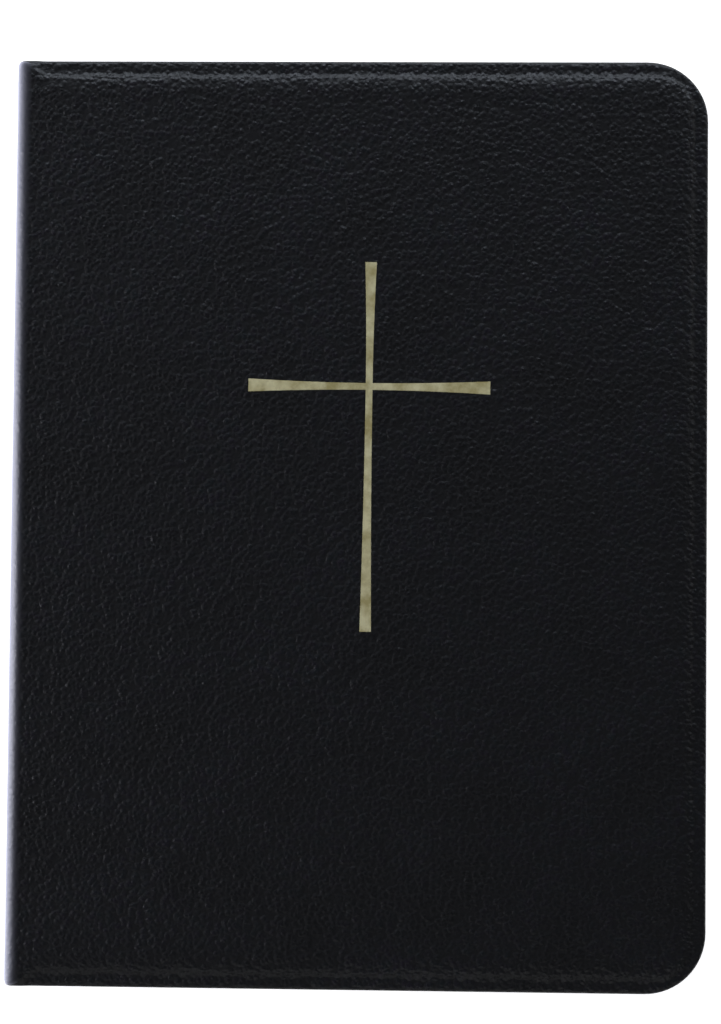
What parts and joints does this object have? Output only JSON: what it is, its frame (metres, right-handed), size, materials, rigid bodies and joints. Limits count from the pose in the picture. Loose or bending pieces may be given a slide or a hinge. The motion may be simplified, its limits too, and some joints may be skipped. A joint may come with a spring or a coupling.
{
  "type": "prayer book",
  "caption": "Closed prayer book in black pebbled leather with flexible covers, a rounded spine, rounded fore-edge corners and a thin gold-stamped cross; covers and pages open.",
  "frame": {"origin": "under the middle of the closed book, on the surface that it lies on", "axes": "+X from the spine to the fore edge, +Y from the tail to the head, +Z from the back cover to the front cover"},
  "size_m": [0.1388, 0.1842, 0.0334],
  "materials": {
    "black_leather": "pebbled bonded leather, satin",
    "gold_foil": "hot-stamped foil, satin",
    "grey_board": "flexible liner board, matt",
    "black_endpaper": "coloured endpaper, matt",
    "page_paper": "thin cream paper",
    "lining_paper": "kraft paper lining, matt",
    "mull_cloth": "open-weave starched cotton",
    "linen_thread": "waxed linen thread",
    "band_silk": "sewn endband, silk"
  },
  "bodies": {
    "back_cover": {"back_cover_leather": "black_leather", "back_board": "grey_board", "back_pastedown": "black_endpaper"},
    "back_flyleaf": {"back_flyleaf": "black_endpaper"},
    "rear_half": {"rear_spine_leather": "black_leather", "rear_spine_lining": "lining_paper", "rear_mull": "mull_cloth", "rear_sewing_thread": "linen_thread", "rear_headband": "band_silk", "rear_tailband": "band_silk", "signature_01": "page_paper", "signature_02": "page_paper", "signature_03": "page_paper", "signature_04": "page_paper", "signature_05": "page_paper", "signature_06": "page_paper", "signature_07": "page_paper", "signature_08": "page_paper", "signature_09": "page_paper", "signature_10": "page_paper", "signature_11": "page_paper", "signature_12": "page_paper", "signature_13": "page_paper", "signature_14": "page_paper"},
    "front_half": {"front_spine_leather": "black_leather", "front_spine_lining": "lining_paper", "front_mull": "mull_cloth", "front_sewing_thread": "linen_thread", "front_headband": "band_silk", "front_tailband": "band_silk", "signature_15": "page_paper", "signature_16": "page_paper", "signature_17": "page_paper", "signature_18": "page_paper", "signature_19": "page_paper", "signature_20": "page_paper", "signature_21": "page_paper", "signature_22": "page_paper", "signature_23": "page_paper", "signature_24": "page_paper", "signature_25": "page_paper", "signature_26": "page_paper", "signature_27": "page_paper", "signature_28": "page_paper"},
    "front_flyleaf": {"front_flyleaf": "black_endpaper"},
    "front_cover": {"front_pastedown": "black_endpaper", "front_board": "grey_board", "front_cover_leather": "black_leather", "gold_cross": "gold_foil"},
    "centre_leaf_01": {"centre_leaf_01": "page_paper"},
    "centre_leaf_02": {"centre_leaf_02": "page_paper"},
    "centre_leaf_03": {"centre_leaf_03": "page_paper"},
    "centre_leaf_04": {"centre_leaf_04": "page_paper"}
  },
  "joints": [
    {"name": "back_hinge", "type": "hinge", "parent": "back_cover", "child": "rear_half", "pos_m": [-0.06843, 0, -0.00005], "axis": [0, -1, 0], "range_deg": [0, 178]},
    {"name": "centre_opening", "type": "hinge", "parent": "rear_half", "child": "front_half", "pos_m": [-0.06948, 0, 0.0167], "axis": [0, -1, 0], "range_deg": [0, 178]},
    {"name": "front_hinge", "type": "hinge", "parent": "front_half", "child": "front_cover", "pos_m": [-0.06843, 0, 0.03345], "axis": [0, -1, 0], "range_deg": [0, 178]},
    {"name": "back_flyleaf_turn", "type": "hinge", "parent": "back_cover", "child": "back_flyleaf", "pos_m": [-0.06603, 0, 0.00225], "axis": [0, -1, 0], "range_deg": [0, 80.1]},
    {"name": "front_flyleaf_turn", "type": "hinge", "parent": "front_cover", "child": "front_flyleaf", "pos_m": [-0.06603, 0, 0.03115], "axis": [0, 1, 0], "range_deg": [0, 80.1]},
    {"name": "centre_leaf_01_turn", "type": "hinge", "parent": "rear_half", "child": "centre_leaf_01", "pos_m": [-0.06753, 0, 0.01615], "axis": [0, -1, 0], "range_deg": [0, 26.7]},
    {"name": "centre_leaf_02_turn", "type": "hinge", "parent": "rear_half", "child": "centre_leaf_02", "pos_m": [-0.06753, 0, 0.01645], "axis": [0, -1, 0], "range_deg": [0, 62.3]},
    {"name": "centre_leaf_03_turn", "type": "hinge", "parent": "front_half", "child": "centre_leaf_03", "pos_m": [-0.06753, 0, 0.01695], "axis": [0, 1, 0], "range_deg": [0, 62.3]},
    {"name": "centre_leaf_04_turn", "type": "hinge", "parent": "front_half", "child": "centre_leaf_04", "pos_m": [-0.06753, 0, 0.01725], "axis": [0, 1, 0], "range_deg": [0, 26.7]}
  ],
  "couplings": [
    {"joint": "back_flyleaf_turn", "follows": "back_hinge", "ratio": 0.45},
    {"joint": "front_flyleaf_turn", "follows": "front_hinge", "ratio": 0.45},
    {"joint": "centre_leaf_01_turn", "follows": "centre_opening", "ratio": 0.15},
    {"joint": "centre_leaf_02_turn", "follows": "centre_opening", "ratio": 0.35},
    {"joint": "centre_leaf_03_turn", "follows": "centre_opening", "ratio": 0.35},
    {"joint": "centre_leaf_04_turn", "follows": "centre_opening", "ratio": 0.15}
  ]
}
